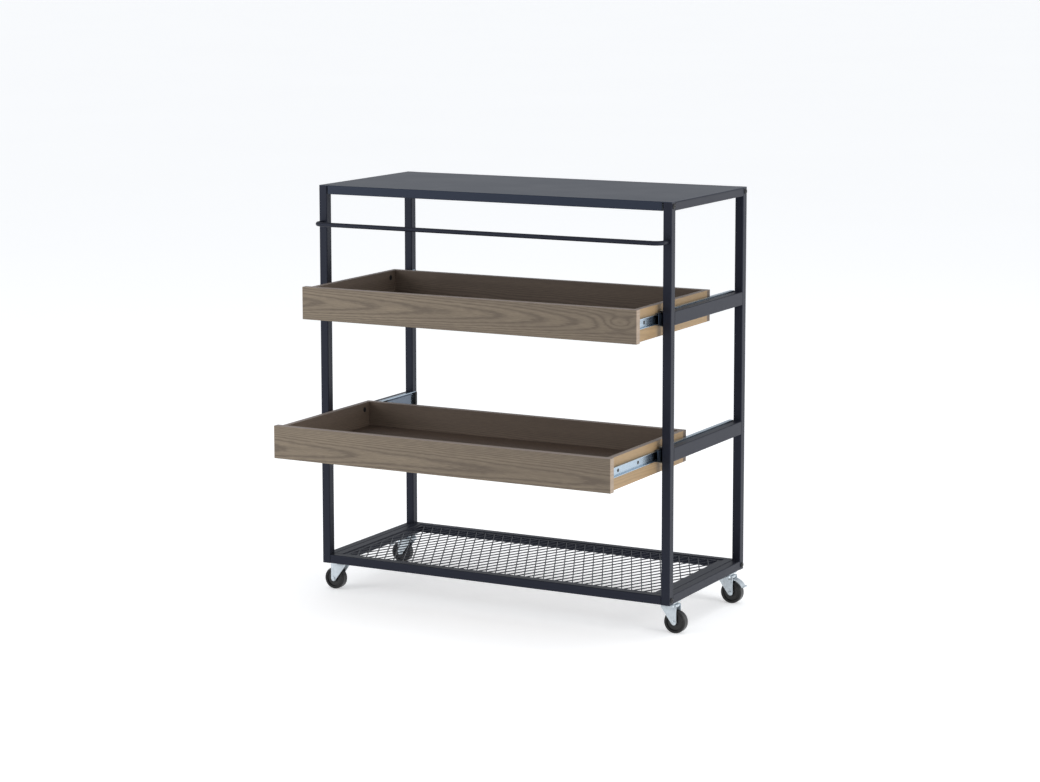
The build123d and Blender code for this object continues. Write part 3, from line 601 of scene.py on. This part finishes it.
def moulded_wheel(corner):
    """Black nylon core with a rounded tread, dished web and raised hub."""
    place, trail, axle_z = swivel_place(corner)
    maker = bmesh.new()
    centre = upright(place, 0, 1) @ Matrix.Translation((trail, axle_z, 0))
    half = TREAD_HALF
    tread = WHEEL_RADIUS
    bore = 3.06 * MM
    right = [
        (bore, HUB_HALF),
        (7.0 * MM, HUB_HALF),
        (7.6 * MM, HUB_HALF - 0.6 * MM),
        (8.2 * MM, half - 3.0 * MM),
        (17.6 * MM, half - 3.0 * MM),
        (18.4 * MM, half - 0.6 * MM),
        (19.2 * MM, half),
        (20.4 * MM, half),
        (20.8 * MM, half - 0.5 * MM),
        (21.2 * MM, half - 0.1 * MM),
    ]
    shoulder = 3.4 * MM
    right += [
        (tread - shoulder + shoulder * math.sin(a), half - shoulder + shoulder * math.cos(a))
        for a in (math.radians(15 * i) for i in range(1, 7))
    ]
    right += [(tread - 0.02 * MM, half - 5.2 * MM)]
    left = [(radius, -height) for radius, height in reversed(right)]
    profile = right + [(tread, 0.0)] + left
    add_lathe(maker, profile + [profile[0]], centre, 96)
    made = piece_from(
        f"moulded_wheel_{corner}", maker, tread_rubber, f"{corner}_wheel"
    )
    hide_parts(f"caster_wheel_{corner}")


for corner in CORNERS:
    stamped_fork(corner)
    axle_bolt(corner)
    moulded_wheel(corner)

# ---------------------------------------------------------------- welds of the side frames
BEAD = 1.5 * MM
BEAD_STEP = 1.6 * MM
GROUND_FLUSH = 2.5 * MM  # from the outer faces, where no bead is left
TOP_LAP = 3 * MM  # from the top rails' tops, where the sheet covers them


def weld_beads(side):
    """MIG beads where each side frame's cross tubes meet its posts, left round on their inner
    and hidden edges. The outer faces are ground flush.
    """
    maker = bmesh.new()
    sign = {"left": -1, "right": 1}[side]
    tubes = [f"{level}_slide_bar_{side}" for level in DRAWER_LEVELS]
    tubes += [f"top_side_rail_{side}", f"bottom_side_rail_{side}"]
    inner = sign * INSIDE_X
    outer = sign * (HALF_WIDTH - GROUND_FLUSH)
    for tube in tubes:
        low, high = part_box(tube)
        for y in (low.y, high.y):
            if "slide_bar" in tube:
                path = [(outer, y, high.z), (inner, y, high.z)]
                path += [(inner, y, low.z), (outer, y, low.z)]
            elif "top" in tube:
                path = [(inner, y, high.z - TOP_LAP), (inner, y, low.z), (outer, y, low.z)]
            else:
                path = [(outer, y, high.z), (inner, y, high.z)]
            runs = []
            for start, end in zip(path, path[1:]):
                way = Vector(end) - Vector(start)
                count = max(2, round(way.length / BEAD_STEP))
                runs += [Vector(start) + way * (i / count) for i in range(count)]
            for spot in runs:
                bmesh.ops.create_icosphere(
                    maker,
                    subdivisions=2,
                    radius=BEAD * random.uniform(0.85, 1.1),
                    matrix=Matrix.Translation(spot),
                )
    piece_from(f"weld_beads_{side}", maker, charcoal_coat, "frame")


for side in ("left", "right"):
    weld_beads(side)


# ---------------------------------------------------------------- ball slides
BALL = 1.15 * MM
CAGE = 110 * MM
BALLS_IN_CAGE = 9
BALL_INSET = 0.6 * MM  # from a drawer section's edge to the balls' centres
OUTER_RISE = 14.9 * MM
DRAWER_WEB = 1.9 * MM  # from the drawer sections' outermost faces to the inner balls
CABINET_WEB = 6.4 * MM
CLIP = (7.0 * MM, 9 * MM, 2.2 * MM)
CLIP_INSET = 8.6 * MM
CLIP_RISE = 15.2 * MM
CLIP_PROUD = 1.5 * MM


def slide_fittings(level):
    """Bearing balls in their cages and the black end clips of both slides of a drawer."""
    middle_low, middle_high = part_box(f"{level}_slide_middle_sections")
    centre_z = (middle_low.z + middle_high.z) / 2
    drawer_low, drawer_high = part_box(f"{level}_slide_drawer_sections")
    cabinet_low, cabinet_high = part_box(f"{level}_slide_cabinet_sections")
    inner_rise = (drawer_high.z - drawer_low.z) / 2 + BALL_INSET
    balls = bmesh.new()
    runs = (
        (middle_low.y, drawer_high.x - DRAWER_WEB, inner_rise),
        (middle_high.y - CAGE, INSIDE_X - CABINET_WEB, OUTER_RISE),
    )
    for start, x, rise in runs:
        for sign in (-1, 1):
            for up in (-1, 1):
                for step in range(1, BALLS_IN_CAGE + 1):
                    along = start + CAGE * step / (BALLS_IN_CAGE + 1)
                    spot = Matrix.Translation((sign * x, along, centre_z + up * rise))
                    bmesh.ops.create_icosphere(balls, subdivisions=2, radius=BALL, matrix=spot)
    piece_from(f"{level}_slide_balls", balls, slide_zinc, f"{level}_middle_slides")
    clips = bmesh.new()
    clip_y = cabinet_low.y - CLIP_PROUD + CLIP[1] / 2
    clip_x = INSIDE_X - CLIP_INSET + CLIP[0] / 2
    for sign in (-1, 1):
        for up in (-1, 1):
            z = (cabinet_low.z + cabinet_high.z) / 2 + up * CLIP_RISE
            spot = Matrix.Translation((sign * clip_x, clip_y, z))
            bmesh.ops.create_cube(clips, size=1, matrix=spot @ Matrix.Diagonal((*CLIP, 1)))
    bmesh.ops.bevel(clips, geom=clips.edges[:], offset=0.4 * MM, segments=2, affect="EDGES")
    piece_from(f"{level}_slide_clips", clips, black_nylon, "frame")


for level in DRAWER_LEVELS:
    slide_fittings(level)


# ---------------------------------------------------------------- finishes of the CAD nodes
def paint(node, finish):
    nodes[node].data.materials.clear()
    nodes[node].data.materials.append(finish)


for name, node in nodes.items():
    if node.hide_render:
        continue
    if name == "top_panel":
        paint(name, top_coat)
    elif name.startswith(("post_", "shelf_", "top_side", "bottom_side", "hanging")):
        paint(name, charcoal_coat)
    elif "slide_bar" in name:
        paint(name, charcoal_coat)
    elif name == "corner_bolts":
        paint(name, black_oxide)
    elif name.endswith("_fittings") or name == "slide_bumpers":
        paint(name, black_nylon)
    elif name.endswith("middle_sections"):
        paint(name, blue_zinc)
    elif name.endswith("_sections"):
        paint(name, slide_zinc)
    elif name.startswith(("caster_", "brake_", "frame_screws", "corner_nut")):
        paint(name, zinc)
    elif name.endswith("drawer_bottom"):
        paint(name, bottom_board)

# How high above the front's middle its heart is, its rings in a metre, and their wander.
FRONT_GRAIN = {"upper": (0.003, 6.6, 2.2), "lower": (-0.013, 4.2, 2.6)}
EDGING = 0.5 * MM
VENEER = 0.9 * MM
EYE_FROM_END = 40 * MM
EYE_ABOVE_HEART = 4 * MM
BOX_HEART_DROP = 30 * MM
for level in DRAWER_LEVELS:
    low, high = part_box(f"{level}_drawer_front")
    lift, flow, swirl = FRONT_GRAIN[level]
    heart = (low.z + high.z) / 2 + lift
    front = oak_veneer(
        f"{level}_front_oak",
        "x",
        "z",
        heart,
        flow,
        swirl,
        FRONT_TONES,
        eye=(high.x - EYE_FROM_END, heart + EYE_ABOVE_HEART) if level == "upper" else None,
        pale_beyond=high.x - VENEER,
        edge_above=high.z - EDGING,
    )
    paint(f"{level}_drawer_front", front)
    box_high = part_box(f"{level}_drawer_back")[1]
    box_edge = box_high.z - EDGING
    aside = heart - BOX_HEART_DROP
    back = oak_veneer(
        f"{level}_back_oak", "x", "z", aside, 5.0, 4.0, INSIDE_TONES, edge_above=box_edge
    )
    paint(f"{level}_drawer_back", back)
    sides = oak_veneer(
        f"{level}_side_oak",
        "y",
        "z",
        aside,
        6.0,
        4.0,
        INSIDE_TONES,
        pale_beyond=box_high.x - VENEER,
        edge_above=box_edge,
    )
    for side in ("left", "right"):
        paint(f"{level}_drawer_side_{side}", sides)

# ---------------------------------------------------------------- floor, light and camera
floor_mesh = bpy.data.meshes.new("floor")
FLOOR_HALF = 60.0
floor_mesh.from_pydata(
    [(x * FLOOR_HALF, y * FLOOR_HALF, 0) for x, y in ((-1, -1), (1, -1), (1, 1), (-1, 1))],
    [],
    [(0, 1, 2, 3)],
)
floor = bpy.data.objects.new("floor", floor_mesh)
bpy.context.scene.collection.objects.link(floor)
floor_paint, floor_tree = new_finish("white_studio_floor")
floor_place = add_node(floor_tree, "ShaderNodeTexCoord")
floor_drift = add_node(
    floor_tree, "ShaderNodeTexNoise", {"Vector": floor_place.outputs["Object"], "Scale": 0.5}
)
floor_tone = add_node(
    floor_tree,
    "ShaderNodeMix",
    {"Factor": floor_drift.outputs[0], "A": srgb("#F6F6F6"), "B": srgb("#FAFAFA")},
    data_type="RGBA",
)
floor_shader = add_node(
    floor_tree,
    "ShaderNodeBsdfPrincipled",
    {
        "Base Color": floor_tone.outputs["Result"],
        "Roughness": 0.9,
        "Specular IOR Level": 0.1,
        "Emission Color": srgb("#FFFFFF"),
        "Emission Strength": 0.42,
    },
)
add_node(floor_tree, "ShaderNodeOutputMaterial", {"Surface": floor_shader.outputs[0]})
floor_mesh.materials.append(floor_paint)

world = bpy.data.worlds.new("studio")
bpy.context.scene.world = world
world.use_nodes = True
sky = world.node_tree.nodes["Background"]
sky.inputs["Color"].default_value = (0.93, 0.96, 1.0, 1)
sky.inputs["Strength"].default_value = 0.6

# Each soft light: its place in metres, its side and its power in watts.
SOFTBOXES = {
    "right_softbox": ((4.2, -0.6, 1.7), 2.4, 54),
    "rear_right_softbox": ((3.0, 3.6, 1.3), 2.4, 14),
    "left_fill": ((-2.6, -2.4, 1.5), 1.6, 30),
    "overhead": ((0.4, 0.6, 4.2), 3.0, 30),
}
middle = Vector((0, 0, TOP / 2))
for name, (spot, side, power) in SOFTBOXES.items():
    lamp = bpy.data.lights.new(name, "AREA")
    lamp.shape = "RECTANGLE"
    lamp.size = lamp.size_y = side
    lamp.energy = power
    softbox = bpy.data.objects.new(name, lamp)
    bpy.context.scene.collection.objects.link(softbox)
    softbox.location = spot
    softbox.rotation_euler = (middle - Vector(spot)).to_track_quat("-Z", "Y").to_euler()

camera_data = bpy.data.cameras.new("camera")
camera_data.sensor_width = 36.0
camera_data.lens = 94.0
camera_data.shift_x = 0.041
camera_data.shift_y = -0.1
camera_data.clip_end = 200
camera = bpy.data.objects.new("camera", camera_data)
bpy.context.scene.collection.objects.link(camera)
CAMERA_SPOT = (2.8225, -5.378, 1.4963)
yaw = math.radians(28.85)
pitch = math.radians(7.366)
roll = math.radians(-0.172)
ahead = Vector(
    (-math.sin(yaw) * math.cos(pitch), math.cos(yaw) * math.cos(pitch), -math.sin(pitch))
)
rightward = Vector((math.cos(yaw), math.sin(yaw), 0))
turn = Matrix((rightward, rightward.cross(ahead), -ahead)).transposed().to_4x4()
camera.matrix_world = Matrix.Translation(CAMERA_SPOT) @ turn @ Matrix.Rotation(roll, 4, "Z")
bpy.context.scene.camera = camera
bpy.context.scene.view_settings.view_transform = "Standard"
